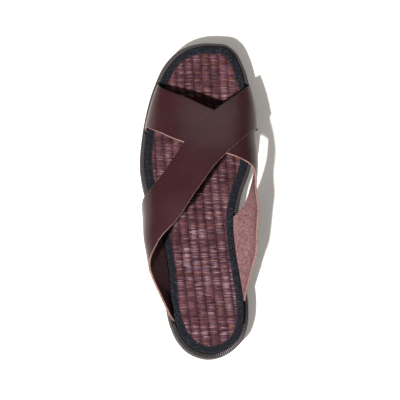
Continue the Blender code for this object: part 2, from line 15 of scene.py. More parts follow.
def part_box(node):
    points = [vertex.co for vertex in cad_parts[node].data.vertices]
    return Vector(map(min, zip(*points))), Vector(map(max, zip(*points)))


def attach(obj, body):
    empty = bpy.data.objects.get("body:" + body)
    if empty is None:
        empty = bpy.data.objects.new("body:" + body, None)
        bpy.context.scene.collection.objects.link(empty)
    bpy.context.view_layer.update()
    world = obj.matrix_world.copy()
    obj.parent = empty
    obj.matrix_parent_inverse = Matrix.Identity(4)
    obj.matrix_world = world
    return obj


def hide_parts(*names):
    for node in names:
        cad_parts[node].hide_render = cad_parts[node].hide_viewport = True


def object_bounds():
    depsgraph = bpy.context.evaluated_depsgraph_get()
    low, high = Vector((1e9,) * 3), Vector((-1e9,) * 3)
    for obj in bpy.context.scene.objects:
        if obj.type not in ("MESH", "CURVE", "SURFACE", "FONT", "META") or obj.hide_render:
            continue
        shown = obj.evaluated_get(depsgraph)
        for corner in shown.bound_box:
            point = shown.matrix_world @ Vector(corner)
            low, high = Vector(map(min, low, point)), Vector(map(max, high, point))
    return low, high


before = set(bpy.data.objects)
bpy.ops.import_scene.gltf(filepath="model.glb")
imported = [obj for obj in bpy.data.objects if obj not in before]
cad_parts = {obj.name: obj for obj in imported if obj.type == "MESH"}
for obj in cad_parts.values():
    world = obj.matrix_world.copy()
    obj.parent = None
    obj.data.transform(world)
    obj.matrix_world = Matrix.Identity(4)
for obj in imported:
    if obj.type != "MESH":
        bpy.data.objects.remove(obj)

bl_info = {
    "name": "Tatami sandal",
    "version": (1, 0, 0),
    "blender": (4, 5, 0),
    "location": "View3D > Sidebar > Sandal",
    "description": "Dresses a sandal with a rush mat and two crossed leather straps",
    "category": "Object",
}

MM = 0.001
CAD_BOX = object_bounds()

# Sizes that the solids have
LENGTH = 280 * MM
BALL_WIDTH = 102 * MM
HEEL_HEIGHT = 27.5 * MM
FORE_HEIGHT = 21.5 * MM
TOE_SPRING = 5.5 * MM
WELT_THICKNESS = 3.0 * MM
WELT_WIDTH = 3.6 * MM
WELT_ROUND = 1.1 * MM
INSOLE_THICKNESS = 3.0 * MM
MAT_THICKNESS = 2.0 * MM
RIB_HEIGHT = 1.5 * MM
RIB_PITCH_TOE = 7.5 * MM
RIB_PITCH_HEEL = 8.1 * MM
RIB_SLANT_TOE = 3.0
RIB_SLANT_HEEL = 8.0
TAPE_THICKNESS = 0.8 * MM
TAPE_WIDTH = 5.8 * MM
INSTEP_HEIGHT = 87 * MM
STRAP_RISE = 1.5 * MM
GAP = 0.3 * MM
SLOT_PLAY = 0.5 * MM
SLOT_END_PLAY = 2.2 * MM
RIM_GAP = 0.9 * MM
DOME_FULLNESS = 0.25
WALL_BEND = 1.25
ARCH_WALL_BEND = 2.2

# Fineness of the meshes
OUTLINE_STEPS = 48
ROUND_STEPS = 5
STATIONS_PER_RIM_RIB = 6
TAPE_STATIONS = 1300
STRAND_STATIONS = 7
STRAND_CORNERS = 5

# Smaller sizes of the dressed pieces
RIM_FOOT = 0.35 * MM
STRAP_AIR = 0.05 * MM
TAPE_BEND = 1.3 * TAPE_THICKNESS
FLOOR_REACH = 8.0
CAMERA_TARGET = (0.0015, -0.0004, 0.022)
CAMERA_LEAN = (3.0, 8.0)
CAMERA_LENS = 173.7
KEY_WAY = (-8.9, -11.5, 27.0)
WHITE = (1.0, 1.0, 1.0)
WARM_WHITE = (1.0, 0.985, 0.96)

OUTLINE = (
    # along, lateral, medial
    (0.000, 0.088, 0.088),
    (0.020, -0.093, 0.258),
    (0.055, -0.186, 0.359),
    (0.100, -0.246, 0.404),
    (0.155, -0.284, 0.415),
    (0.240, -0.305, 0.387),
    (0.340, -0.342, 0.342),
    (0.430, -0.409, 0.325),
    (0.510, -0.471, 0.357),
    (0.600, -0.517, 0.440),
    (0.680, -0.509, 0.474),
    (0.770, -0.470, 0.483),
    (0.860, -0.400, 0.438),
    (0.930, -0.309, 0.377),
    (0.975, -0.187, 0.306),
    (0.993, -0.075, 0.241),
    (1.000, 0.118, 0.118),
)
RIM_LINE = (
    # along, share of the way from ball to heel height, share of the toe spring
    (0.00, 1.05, 0.0),
    (0.15, 1.00, 0.0),
    (0.32, 0.88, 0.0),
    (0.50, 0.40, 0.0),
    (0.68, 0.00, 0.0),
    (0.86, 0.00, 0.30),
    (1.00, 0.00, 1.00),
)
LAST = (
    # along, lateral bulge, medial bulge, height of each, crown off centre, height of the crown
    (0.10, 0.000, 0.000, 0.38, 0.36, 0.03, 0.88),
    (0.18, 0.070, 0.010, 0.58, 0.40, 0.03, 0.92),
    (0.25, 0.145, 0.070, 0.70, 0.45, 0.03, 0.96),
    (0.34, 0.158, 0.160, 0.70, 0.50, 0.03, 0.99),
    (0.44, 0.112, 0.185, 0.57, 0.56, 0.03, 1.00),
    (0.53, 0.062, 0.120, 0.53, 0.61, 0.04, 0.95),
    (0.62, 0.032, 0.055, 0.47, 0.55, 0.05, 0.86),
    (0.70, 0.014, 0.022, 0.42, 0.44, 0.06, 0.74),
    (0.78, 0.004, 0.008, 0.38, 0.38, 0.06, 0.60),
    (0.88, 0.000, 0.002, 0.34, 0.34, 0.06, 0.46),
)
OVER_STRAP = (
    # around, front edge, rear edge
    (0.00, 0.448, 0.117),
    (0.08, 0.454, 0.132),
    (0.16, 0.463, 0.180),
    (0.20, 0.474, 0.219),
    (0.235, 0.484, 0.260),
    (0.27, 0.494, 0.281),
    (0.31, 0.511, 0.304),
    (0.35, 0.542, 0.333),
    (0.40, 0.605, 0.389),
    (0.43, 0.655, 0.436),
    (0.475, 0.711, 0.507),
    (0.52, 0.755, 0.577),
    (0.60, 0.799, 0.646),
    (0.73, 0.842, 0.701),
    (0.86, 0.857, 0.717),
    (1.00, 0.860, 0.712),
)
UNDER_STRAP = (
    # around, front edge, rear edge
    (0.00, 0.864, 0.716),
    (0.17, 0.854, 0.714),
    (0.30, 0.834, 0.694),
    (0.42, 0.804, 0.653),
    (0.52, 0.762, 0.626),
    (0.62, 0.742, 0.600),
    (0.70, 0.727, 0.576),
    (0.77, 0.711, 0.537),
    (0.82, 0.698, 0.492),
    (0.86, 0.636, 0.420),
    (0.90, 0.546, 0.348),
    (0.92, 0.520, 0.312),
    (0.935, 0.506, 0.288),
    (0.955, 0.487, 0.243),
    (0.975, 0.467, 0.208),
    (1.00, 0.446, 0.179),
)
CLIMB = (0.10, 0.32, 0.90, 1.00)

TAPE_OUTER = WELT_WIDTH + RIM_GAP
STRAP_INNER = TAPE_OUTER - GAP
WINDOW_EDGE = TAPE_OUTER + TAPE_WIDTH + GAP


# Curves and the sandal's own form


def cubic(u, reach, start, end, slope, slope_after):
    """Cubic from start to end over a reach, with its two slopes, at a share u of the way."""
    return (start * (1 + 2 * u) * (1 - u) ** 2 + slope * reach * u * (1 - u) ** 2
            + end * u * u * (3 - 2 * u) + slope_after * reach * u * u * (u - 1))


def smooth_curve(places, values):
    """Cubic through the rows whose slopes never carry it past them."""
    places = np.asarray(places, float)
    values = np.asarray(values, float)
    step = np.diff(places)
    rise = np.diff(values) / step
    before, after = rise[:-1], rise[1:]
    weight_a = 2 * step[1:] + step[:-1]
    weight_b = step[1:] + 2 * step[:-1]
    same_way = before * after > 0
    mean = (weight_a + weight_b) / (weight_a / np.where(same_way, before, 1.0)
                                    + weight_b / np.where(same_way, after, 1.0))
    slope = np.concatenate([rise[:1], np.where(same_way, mean, 0.0), rise[-1:]])

    def read(at):
        at = np.clip(np.asarray(at, float), places[0], places[-1])
        left = np.clip(np.searchsorted(places, at, side="right") - 1, 0, len(places) - 2)
        u = (at - places[left]) / step[left]
        return cubic(u, step[left], values[left], values[left + 1], slope[left], slope[left + 1])

    return read


def column_curve(table, column, scale=1.0):
    """A table's column as a smooth function of its first column."""
    rows = np.array(table, float)
    return smooth_curve(rows[:, 0], rows[:, column] * scale)


def smooth_step(at):
    """0 below 0, 1 above 1, and 3t^2 - 2t^3 between."""
    at = np.clip(at, 0.0, 1.0)
    return at * at * (3 - 2 * at)


rim_rise = column_curve(RIM_LINE, 1, HEEL_HEIGHT - FORE_HEIGHT)
rim_spring = column_curve(RIM_LINE, 2, TOE_SPRING)


def rim_z(y):
    """Height of the rim: ball height, plus the rise to the heel, plus the toe spring."""
    return FORE_HEIGHT + rim_rise(y / LENGTH) + rim_spring(y / LENGTH)


def platform_z(y):
    """Height of the middle sole's upper face, under the rim."""
    return rim_z(y) - WELT_THICKNESS - GAP


def mat_floor_z(y):
    """Height of the mat's base, from which its ribs rise."""
    return platform_z(y) + 2 * GAP + INSOLE_THICKNESS + MAT_THICKNESS


def closed_outline():
    """The outline as a closed curve: cubics through the table's rows, medial side first."""
    rows = np.array(OUTLINE)
    medial = np.stack([rows[:, 2] * BALL_WIDTH, rows[:, 0] * LENGTH], axis=1)
    lateral = np.stack([rows[:, 1] * BALL_WIDTH, rows[:, 0] * LENGTH], axis=1)
    knots = np.concatenate([medial, lateral[-2:0:-1]])
    after = np.roll(knots, -1, axis=0)
    span = np.linalg.norm(after - knots, axis=1)
    rise = (after - knots) / span[:, None]
    span_before = np.roll(span, 1)
    total = (span + span_before)[:, None]
    slope = (np.roll(rise, 1, axis=0) * span[:, None] + rise * span_before[:, None]) / total
    u = (np.arange(OUTLINE_STEPS) / OUTLINE_STEPS)[None, :, None]
    points = cubic(u, span[:, None, None], knots[:, None], after[:, None], slope[:, None],
                   np.roll(slope, -1, axis=0)[:, None])
    return points.reshape(-1, 2)


OUTER_LINE = closed_outline()
HEEL_POINT = int(np.argmin(OUTER_LINE[:, 1]))
TOE_POINT = int(np.argmax(OUTER_LINE[:, 1]))


def inset_line(inset):
    """The outline moved inwards at right angles to itself."""
    along = np.roll(OUTER_LINE, -1, axis=0) - np.roll(OUTER_LINE, 1, axis=0)
    along /= np.linalg.norm(along, axis=1)[:, None]
    return OUTER_LINE + np.stack([-along[:, 1], along[:, 0]], axis=1) * inset


def side_lines(inset):
    """The lateral and the medial half of an inset outline, each from heel to toe."""
    line = inset_line(inset)
    line = np.roll(line, -int(np.argmin(line[:, 1])), axis=0)
    toe = int(np.argmax(line[:, 1]))
    return np.concatenate([line[:1], line[:toe - 1:-1]]), line[:toe + 1]


# The solids stand with the middle of their footprint on the origin
SHIFT = np.array([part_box("welt")[0][0] - OUTER_LINE[:, 0].min(),
                  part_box("welt")[0][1] - OUTER_LINE[:, 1].min(), 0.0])

LAST_SIZES = (BALL_WIDTH, BALL_WIDTH, INSTEP_HEIGHT, INSTEP_HEIGHT, BALL_WIDTH, INSTEP_HEIGHT)
(last_lateral, last_medial, last_lateral_z, last_medial_z, last_crown_x, last_crown_z) = (
    column_curve(LAST, column, size) for column, size in enumerate(LAST_SIZES, 1))
SLOT_LATERAL, SLOT_MEDIAL = side_lines(STRAP_INNER)


def last_point(along, around):
    """A point of the foot's form under the straps.

    Each half of a section leans out from its slot until it stands upright at its bulge, by
    bulge * (1 - t^WALL_BEND), with ARCH_WALL_BEND on the inner side, and closes over the crown in
    a quarter of a filled-out ellipse.
    """
    y = along * LENGTH
    lateral = around < 0.5
    slot_x = np.where(lateral, np.interp(y, SLOT_LATERAL[:, 1], SLOT_LATERAL[:, 0]),
                      np.interp(y, SLOT_MEDIAL[:, 1], SLOT_MEDIAL[:, 0]))
    outwards = np.where(lateral, -1.0, 1.0)
    bulge = np.where(lateral, last_lateral(along), last_medial(along))
    bulge_z = np.where(lateral, last_lateral_z(along), last_medial_z(along))
    dome = last_crown_z(along) - bulge_z
    share = np.where(lateral, around, 1 - around) * 2
    lowest = -(bulge_z - rim_z(y) - STRAP_RISE) / dome
    angle = lowest + (0.5 * math.pi - lowest) * share
    down = np.clip(angle / lowest, 0.0, 1.0)
    up = np.clip(angle, 0.0, None)
    half = slot_x + outwards * bulge - last_crown_x(along)
    bend = np.where(lateral, WALL_BEND, ARCH_WALL_BEND)
    leg_x = slot_x + outwards * bulge * (1 - down ** bend)
    dome_x = last_crown_x(along) + half * np.cos(up) * (1 + DOME_FULLNESS * np.sin(up) ** 2)
    x = np.where(angle < 0, leg_x, dome_x)
    z = np.where(angle < 0, bulge_z + dome * angle, bulge_z + dome * np.sin(up))
    return np.stack([x, y + 0 * x, z], axis=-1)


def last_normal(along, around):
    """Outward direction of the foot's form: the cross product of two small steps on it."""
    step = 0.002
    inner = np.clip(around, step, 1 - step)
    across = last_point(along, inner + step) - last_point(along, inner - step)
    lengthways = last_point(along + step, inner) - last_point(along - step, inner)
    normal = np.cross(across, lengthways)
    return normal / np.linalg.norm(normal, axis=-1)[..., None]


def climb(around, thickness):
    """Lift of the over strap, which climbs onto the under strap and comes down again."""
    start, top, leave, end = CLIMB
    up = smooth_step((around - start) / (top - start))
    down = smooth_step((around - leave) / (end - leave))
    return thickness * up * (1 - down)


# Meshes from whole arrays


def tube_faces(rows, columns, closed_rows):
    """Corner numbers of the quads on a grid whose columns close on themselves."""
    i = np.arange(rows if closed_rows else rows - 1)[:, None]
    j = np.arange(columns)[None, :]
    here, there = i * columns, ((i + 1) % rows) * columns
    following = (j + 1) % columns
    return np.stack([here + j, here + following, there + following, there + j], -1).reshape(-1, 4)


def mesh_piece(name, points, quads, caps=()):
    """A mesh object from points, quads as one array, and a few faces with more corners."""
    points = np.asarray(points).reshape(-1, 3) + SHIFT
    corners = np.concatenate([quads.reshape(-1)] + [np.asarray(cap) for cap in caps])
    sizes = np.concatenate([np.full(len(quads), 4), [len(cap) for cap in caps]]).astype(int)
    mesh = bpy.data.meshes.new(name)
    mesh.vertices.add(len(points))
    mesh.vertices.foreach_set("co", points.astype(np.float32).ravel())
    mesh.loops.add(len(corners))
    mesh.loops.foreach_set("vertex_index", corners.astype(np.int32))
    mesh.polygons.add(len(sizes))
    starts = np.concatenate([[0], np.cumsum(sizes)[:-1]])
    mesh.polygons.foreach_set("loop_start", starts.astype(np.int32))
    mesh.update(calc_edges=True)
    mesh.shade_smooth()
    piece = bpy.data.objects.new(name, mesh)
    bpy.context.scene.collection.objects.link(piece)
    return piece


def paint_points(piece, name, values):
    """Stores one number per point under a name that a material can read."""
    layer = piece.data.attributes.new(name, "FLOAT", "POINT")
    layer.data.foreach_set("value", np.asarray(values, np.float32).ravel())


def lay_uv(piece, u, v):
    """UV map from two arrays with one value per face corner."""
    layer = piece.data.uv_layers.new(name="surface")
    layer.data.foreach_set("uv", np.stack([u, v], -1).astype(np.float32).ravel())


def ring_course(count):
    """Points, inward directions and run, evenly spaced round the outline."""
    step = np.linalg.norm(np.roll(OUTER_LINE, -1, axis=0) - OUTER_LINE, axis=1)
    run = np.concatenate([[0], np.cumsum(step)])
    at = np.linspace(0, run[-1], count, endpoint=False)
    inner = inset_line(1.0) - OUTER_LINE
    line = np.concatenate([OUTER_LINE, OUTER_LINE[:1]])
    inner = np.concatenate([inner, inner[:1]])
    points = np.stack([np.interp(at, run, line[:, k]) for k in (0, 1)], axis=1)
    inward = np.stack([np.interp(at, run, inner[:, k]) for k in (0, 1)], axis=1)
    share = np.interp(at, run, np.arange(len(line)))
    return points, inward, at, share


def profile_columns(rows, y):
    """One column per row of a profile, where a row may be one number for all stations."""
    return np.stack(np.broadcast_arrays(y, *rows)[1:], axis=1)


def ring_piece(name, points, inward, insets, heights):
    """A profile carried round the outline, from arrays of insets and heights per station."""
    line = points[:, None] + inward[:, None] * insets[..., None]
    grid = np.concatenate([line, heights[..., None]], axis=-1)
    quads = tube_faces(len(points), insets.shape[1], True)
    return mesh_piece(name, grid, quads[:, ::-1])


def unwrap_ring(piece, insets, heights, run):
    """UV along the ring and along its profile, in metres, without a jump at the seam."""
    count, corners = insets.shape
    width = np.hypot(np.diff(insets, axis=1), np.diff(heights, axis=1)).mean(axis=0)
    profile = np.concatenate([[0], np.cumsum(width), [width.sum() + MM]])
    step = run[1] - run[0]
    i, j = np.meshgrid(np.arange(count), np.arange(corners), indexing="ij")
    u = np.stack([i + 1, i + 1, i, i], -1) * step
    v = np.stack([profile[j], profile[j + 1], profile[j + 1], profile[j]], -1)
    lay_uv(piece, u.ravel(), v.ravel())


# Materials


class Value:
    """A shader socket on which arithmetic adds Math nodes."""

    def __init__(self, finish, socket):
        self.finish = finish
        self.socket = socket

    def math(self, operation, *values):
        node = self.finish.node("Math", {"operation": operation}, dict(enumerate(values)))
        return Value(self.finish, node.outputs[0])

    def __add__(self, other):
        return self.math("ADD", self, other)

    def __radd__(self, other):
        return self.math("ADD", other, self)

    def __sub__(self, other):
        return self.math("SUBTRACT", self, other)

    def __rsub__(self, other):
        return self.math("SUBTRACT", other, self)

    def __mul__(self, other):
        return self.math("MULTIPLY", self, other)

    def sine(self):
        return self.math("SINE", self)

    def clamp(self):
        node = self.finish.node("Clamp", {}, {"Value": self})
        return Value(self.finish, node.outputs[0])

    def ramp(self, low, high):
        """0 below low, 1 above high, smooth between."""
        node = self.finish.node("MapRange", {"interpolation_type": "SMOOTHSTEP"},
                                {"Value": self, "From Min": low, "From Max": high})
        return Value(self.finish, node.outputs[0])


class Finish:
    """A material in the making, with its shader and one method for every other node."""

    def __init__(self, name, gloss=0.5, density=1.5):
        self.material = bpy.data.materials.new(name)
        self.material.use_nodes = True
        self.nodes = self.material.node_tree.nodes
        self.links = self.material.node_tree.links
        self.shader = self.nodes["Principled BSDF"]
        self.shader.inputs["Specular IOR Level"].default_value = gloss
        self.shader.inputs["IOR"].default_value = density

    def put(self, socket, value):
        """Links a value to a socket, or sets a constant on it."""
        if isinstance(value, Value):
            self.links.new(value.socket, socket)
        elif isinstance(value, bpy.types.NodeSocket):
            self.links.new(value, socket)
        else:
            socket.default_value = value

    def node(self, kind, settings, sockets):
        """Adds a node: its settings first, then the values or links of its sockets."""
        made = self.nodes.new("ShaderNode" + kind)
        for name, value in settings.items():
            if name == "stops":
                ramp = made.color_ramp
                while len(ramp.elements) < len(value):
                    ramp.elements.new(0.5)
                for element, (place, colour) in zip(ramp.elements, value):
                    element.position = place
                    element.color = (*colour, 1.0)
            else:
                setattr(made, name, value)
        for name, value in sockets.items():
            self.put(made.inputs[name], value)
        return made

    def place(self, scale=(1.0, 1.0, 1.0), turn=(0.0, 0.0, 0.0)):
        """Object coordinates, scaled and turned."""
        where = self.node("TexCoord", {}, {}).outputs["Object"]
        node = self.node("Mapping", {}, {"Vector": where, "Scale": scale, "Rotation": turn})
        return node.outputs[0]

    def noise(self, scale, detail, roughness, stretch=(1.0, 1.0, 1.0), turn=(0.0, 0.0, 0.0)):
        """Smooth noise of 0 to 1."""
        node = self.node("TexNoise", {}, {"Vector": self.place(stretch, turn), "Scale": scale,
                                          "Detail": detail, "Roughness": roughness})
        return Value(self, node.outputs[0])

    def cells(self, scale):
        """Distance to the nearest of scattered points."""
        node = self.node("TexVoronoi", {}, {"Vector": self.place(), "Scale": scale})
        return Value(self, node.outputs["Distance"])

    def attribute(self, name):
        """A number painted on the piece's points."""
        node = self.node("Attribute", {"attribute_name": name}, {})
        return Value(self, node.outputs["Fac"])

    def uv(self):
        """The two numbers of the piece's own UV map."""
        return self.axes(self.node("UVMap", {"uv_map": "surface"}, {}).outputs[0])[:2]

    def axes(self, where=None):
        """The three numbers of a vector, which is the place on the object if none is given."""
        split = self.node("SeparateXYZ", {}, {"Vector": where or self.place()})
        return [Value(self, split.outputs[k]) for k in range(3)]

    def mix(self, share, first, second, blend="MIX"):
        node = self.node("Mix", {"data_type": "RGBA", "blend_type": blend}, {})
        self.put(node.inputs[0], share)
        for socket, colour in ((node.inputs[6], first), (node.inputs[7], second)):
            self.put(socket, colour if isinstance(colour, bpy.types.NodeSocket) else (*colour, 1.0))
        return node.outputs[2]

    def colour(self, share, first, second):
        """Sets the base colour to a mix of two."""
        self.base = self.mix(share, first, second)
        self.put(self.shader.inputs["Base Color"], self.base)

    def over(self, share, colour):
        """Lays another colour over the base colour."""
        self.colour(share, self.base, colour)

    def done(self, rough, *layers):
        """Sets the roughness and the relief, from pairs of a value and its depth in millimetres."""
        self.put(self.shader.inputs["Roughness"], rough)
        normal = {}
        for value, depth in layers:
            sockets = {"Height": value, "Distance": depth * MM, "Strength": 1.0, **normal}
            normal = {"Normal": self.node("Bump", {}, sockets).outputs[0]}
        if normal:
            self.put(self.shader.inputs["Normal"], normal["Normal"])
        return self.material


def linear(red, green, blue):
    """A screen colour of 0 to 255 as linear light."""
    share = np.array([red, green, blue]) / 255.0
    light = np.where(share <= 0.04045, share / 12.92, ((share + 0.055) / 1.055) ** 2.4)
    return tuple(float(c) for c in light)


def grain_leather(looks):
    """Smooth dyed leather: fine pebbles, soft pores, cloudy dye, burnished edges and painted shade.
    """
    finish = Finish("grain_leather", gloss=0.22, density=1.45)
    cloud = finish.noise(34, 3, 0.6)
    fine = finish.noise(900, 3, 0.6)
    pebble = finish.cells(1300)
    crease = finish.noise(160, 4, 0.65, stretch=(1.0, 0.35, 1.0), turn=(0.0, 0.0, 0.6))
    edge = finish.attribute("from_edge").ramp(0.0, 5.0 * MM)
    finish.colour(0.45 + cloud.ramp(0.35, 0.68) * 0.55, looks.leather_deep, looks.leather)
    # Burnished edges darken within 5 mm of the cut; painted shade by the 'end' attribute darkens
    # the strap ends on the foot's sides
    finish.over(((1 - edge) * 0.45 + finish.attribute("end")).clamp(), looks.leather_deep)
    finish.over(fine.ramp(0.5, 0.8) * 0.25, looks.leather_light)
    return finish.done((0.22 + cloud * 0.08 + fine * 0.06).clamp(),
                       (crease, 0.08), (pebble, 0.03), (fine, 0.02))


def suede_side(looks):
    """Flesh side of the leather: short nap in mottled patches, no gloss, painted shade near the
    outer foot.
    """
    finish = Finish("suede_side", gloss=0.15)
    patches = finish.noise(420, 4, 0.75)
    nap = finish.noise(1100, 3, 0.8)
    broad = finish.noise(60, 3, 0.6)
    finish.colour(patches.ramp(0.36, 0.60), looks.suede_deep, looks.suede)
    finish.over(broad.ramp(0.4, 0.7) * 0.2, looks.suede_light)
    finish.over(nap.ramp(0.48, 0.66) * 0.7, looks.suede_light)
    # Painted shade: the inside of the strap near the outer foot is darkened toward leather_deep
    finish.over(finish.attribute("rubbed"), looks.leather_deep)
    return finish.done(0.86 + nap * 0.12, (patches, 0.12), (nap, 0.10))


def cut_edge(looks):
    """Raw cut edge of the leather: pale, fibrous, a little stained."""
    finish = Finish("cut_edge", gloss=0.2)
    fibre = finish.noise(1100, 4, 0.7)
    stain = finish.noise(120, 3, 0.6)
    finish.colour(fibre.ramp(0.3, 0.7), looks.edge_deep, looks.edge)
    finish.over(stain.ramp(0.45, 0.75) * 0.55, looks.suede_deep)
    return finish.done(0.8 + fibre * 0.15, (fibre, 0.10))


def dyed_rush(looks):
    """Dyed rush: each strand's own dye, streaked along it, with a soft straw gloss and painted
    shade.
    """
    finish = Finish("dyed_rush", gloss=0.26, density=1.45)
    dye = finish.attribute("dye")
    tone = finish.attribute("tone")
    bend = finish.attribute("furrow")
    streak = finish.noise(900, 3, 0.6, stretch=(0.14, 1.6, 0.4))
    fleck = finish.noise(520, 3, 0.65, stretch=(0.45, 1.0, 1.0))
    stops = ((0.0, looks.rush_plum), (0.20, looks.rush_mauve), (0.46, looks.rush_rose),
             (0.66, looks.rush_brick), (0.92, looks.rush_tan))
    shade = (dye + (fleck - 0.5) + (streak - 0.5) * 0.5).clamp()
    rush = finish.node("ValToRGB", {"stops": stops}, {"Fac": shade}).outputs[0]
    dark = finish.mix(1.0, rush, (0.26, 0.17, 0.20), "MULTIPLY")
    finish.colour((tone * 1.5 + streak * 0.7 - 0.48).clamp(), dark, rush)
    finish.over((tone * 1.5 + fleck - 1.36).clamp(), looks.rush_pale)
    # Painted shade: darker where strands dive into the furrows and on each rib's inner half, away
    # from the key light
    finish.over(bend * 0.60, looks.rush_shade)
    return finish.done(0.48 + streak * 0.2 + bend * 0.15, (streak, 0.16), (fleck, 0.05))


def mat_ground(looks):
    """The mat below its outer strands: dark rush in fine cross lines."""
    finish = Finish("mat_ground", gloss=0.25)
    streak = finish.noise(620, 3, 0.6, stretch=(0.12, 1.5, 0.4))
    patch = finish.noise(90, 2, 0.5)
    finish.colour(streak.ramp(0.35, 0.7), looks.rush_shade, looks.rush_mauve)
    finish.over(patch.ramp(0.45, 0.7) * 0.5, looks.rush_rose)
    return finish.done(0.75 + streak * 0.2, (streak, 0.25))


def woven_tape(looks):
    """Closely woven cotton tape: ribs across it, a finer thread along it, paler at fold and hem."""
    finish = Finish("woven_tape", gloss=0.12)
    along, across = finish.uv()
    weft = (along * (2 * math.pi / (0.95 * MM))).sine()
    warp = (across * (2 * math.pi / (0.80 * MM))).sine()
    thread = weft * warp * 0.5 + 0.5
    slub = finish.noise(640, 2, 0.6)
    fluff = finish.noise(1000, 3, 0.7)
    fade = finish.noise(60, 3, 0.6)
    fold = finish.attribute("fold")
    weave = (thread * 0.6 + slub.ramp(0.35, 0.65) * 0.55).clamp()
    finish.colour(weave, looks.tape_deep, looks.tape)
    finish.over(slub.ramp(0.52, 0.68) * (0.4 + fade.ramp(0.4, 0.7) * 0.5), looks.tape_light)
    # Paler along the outer fold and the turned inner hem
    finish.over((fold * fluff.ramp(0.35, 0.75) * 0.75).clamp(), looks.tape_edge)
    return finish.done(0.84 + fluff * 0.12, (thread, 0.10), (fluff, 0.06))


def rim_rubber(looks):
    """Ribbed rim: satin rubber, painted shade in its furrows, painted highlights on its ribs."""
    finish = Finish("rim_rubber", gloss=0.3)
    rib = finish.attribute("rib")
    dust = finish.noise(240, 4, 0.7)
    patch = finish.noise(30, 3, 0.6)
    across, along, up = finish.axes()
    # Painted shade: the furrows between the ribs are near black
    finish.colour(rib.ramp(0.25, 0.85), looks.rim_deep, looks.rim)
    warm = finish.mix(1.0, finish.base, looks.rim_warm, "MULTIPLY")
    finish.over(patch.ramp(0.4, 0.7) * 0.5, warm)
    # Painted highlight on the rib crowns, patchy with dust
    finish.over((dust.ramp(0.45, 0.8) * 0.5 + 0.3) * rib.ramp(0.55, 1.0), looks.rim_light)
    finish.over(along.ramp(20 * MM, 130 * MM) * 0.45, looks.rim_light)
    finish.over((1 - along.ramp(-140 * MM, -60 * MM)) * 0.40, looks.rim_deep)
    # Painted light: pale ribs at the heel's inner corner, where the key light does not reach
    painted_lit = (1 - along.ramp(-136 * MM, -104 * MM)) * across.ramp(11 * MM, 27 * MM)
    finish.over(painted_lit * rib.ramp(0.5, 1.0) * 0.85, looks.rim_painted_light)
    return finish.done((0.58 + dust * 0.2 - rib * 0.2).clamp(), (dust, 0.04))


def foam_rubber(looks):
    """Side of the middle sole: fine pored foam, dusty low down."""
    finish = Finish("foam_rubber", gloss=0.4)
    pores = finish.cells(1500)
    speck = finish.noise(500, 3, 0.7)
    dust = finish.noise(70, 4, 0.65)
    low = 1 - finish.axes()[2].ramp(4.0 * MM, 14.0 * MM)
    finish.colour(speck.ramp(0.35, 0.75), looks.foam_deep, looks.foam)
    finish.over((dust.ramp(0.42, 0.72) * (0.25 + low * 0.5)).clamp(), looks.dust)
    return finish.done(0.58 + speck * 0.25, (pores, 0.07), (speck, 0.04))


def tread_rubber(looks):
    """Outsole: black rubber, scuffed grey where it walks."""
    finish = Finish("tread_rubber", gloss=0.45)
    scuff = finish.noise(180, 5, 0.7, stretch=(1.0, 0.25, 1.0))
    fine = finish.noise(1100, 3, 0.6)
    walked = 1 - finish.axes()[2].ramp(0.4 * MM, 2.2 * MM)
    finish.colour(fine.ramp(0.3, 0.8), looks.tread, looks.foam_deep)
    finish.over((scuff.ramp(0.4, 0.7) * (0.15 + walked * 0.6)).clamp(), looks.dust)
    return finish.done(0.62 + scuff * 0.25, (scuff, 0.10), (fine, 0.05))


def fibre_board(looks):
    """Board under the mat: pressed brown fibre."""
    finish = Finish("fibre_board", gloss=0.2)
    fibre = finish.noise(500, 4, 0.7, stretch=(1.0, 0.4, 1.0))
    finish.colour(fibre.ramp(0.3, 0.7), looks.board, looks.rush_shade)
    return finish.done(0.85 + fibre * 0.1, (fibre, 0.10))


def wear(node, material):
    """Gives a CAD node another material in every slot."""
    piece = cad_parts[node]
    if not piece.material_slots:
        piece.data.materials.append(material)
    for place in piece.material_slots:
        place.material = material
    return piece


# Pieces


def strap_course(front, rear, count):
    """Places round the foot that lie equally far apart along a strap's middle line."""
    fine = np.linspace(0, 1, 2000)
    path = last_point(0.5 * (front(fine) + rear(fine)), fine)
    run = np.concatenate([[0], np.cumsum(np.linalg.norm(np.diff(path, axis=0), axis=1))])
    return np.interp(np.linspace(0, run[-1], count), run, fine)


def strap_section(columns, thickness, softness):
    """Section of a strap: share of its width, push beyond that, height, and which face it is on.

    The outer face runs from the front edge to the rear edge and the inner face runs back. At the
    edges the corners are rounded by a quarter of an ellipse.
    """
    side = 0.5 - 0.5 * np.cos(np.linspace(0, math.pi, columns))
    turn = np.linspace(0.5 * math.pi, 0, 4)[1:-1]
    rows = []

    def row(*numbers):
        rows.append(numbers)

    round_x, round_z = softness, 0.5 * softness
    for where in side:
        row(where, round_x * (1 - 2 * where), thickness, 0)
    for angle in turn:
        row(1.0, -round_x * (1 - math.cos(angle)), thickness - round_z * (1 - math.sin(angle)), 2)
    row(1.0, 0.0, thickness - round_z, 2)
    row(1.0, 0.0, round_z, 2)
    for angle in -turn[::-1]:
        row(1.0, -round_x * (1 - math.cos(angle)), round_z * (1 + math.sin(angle)), 1)
    for where in side[::-1]:
        row(where, round_x * (1 - 2 * where), 0.0, 1)
    for angle in turn:
        row(0.0, round_x * (1 - math.cos(angle)), round_z * (1 - math.sin(angle)), 1)
    row(0.0, 0.0, round_z, 2)
    row(0.0, 0.0, thickness - round_z, 2)
    for angle in -turn[::-1]:
        row(0.0, round_x * (1 - math.cos(angle)), thickness - round_z * (1 + math.sin(angle)), 0)
    return np.array(rows).T


